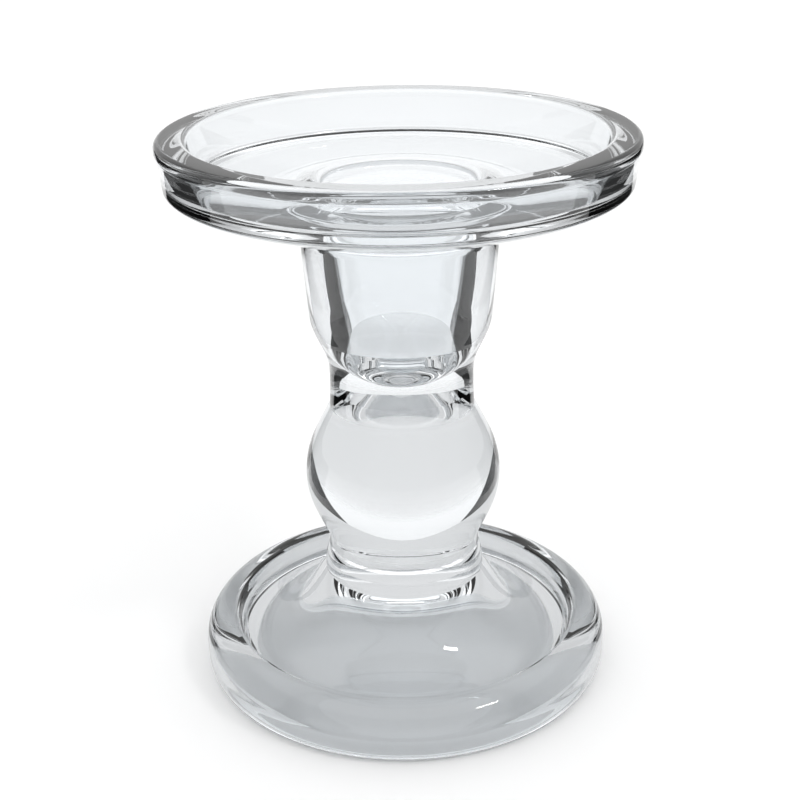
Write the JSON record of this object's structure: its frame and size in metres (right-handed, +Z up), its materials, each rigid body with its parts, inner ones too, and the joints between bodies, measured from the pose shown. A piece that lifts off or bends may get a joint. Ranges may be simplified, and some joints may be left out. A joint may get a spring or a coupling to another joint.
{
  "type": "glass candle holder",
  "caption": "Clear glass candle holder: a raised-rim dish for a pillar candle with a tapered socket in its middle for a taper candle, on a ball stem and a domed round foot.",
  "frame": {"origin": "centre of the standing ring under the foot, on the surface the holder stands on", "axes": "+Z up along the axis that every section is turned about; +X and +Y are any two square level directions, since the holder is round"},
  "size_m": [0.105, 0.105, 0.13],
  "materials": {
    "clear_glass": "fire-polished clear pressed glass"
  },
  "bodies": {
    "root": {"foot": "clear_glass", "collar": "clear_glass", "ball_stem": "clear_glass", "taper_cup": "clear_glass", "pillar_dish": "clear_glass"}
  },
  "joints": []
}
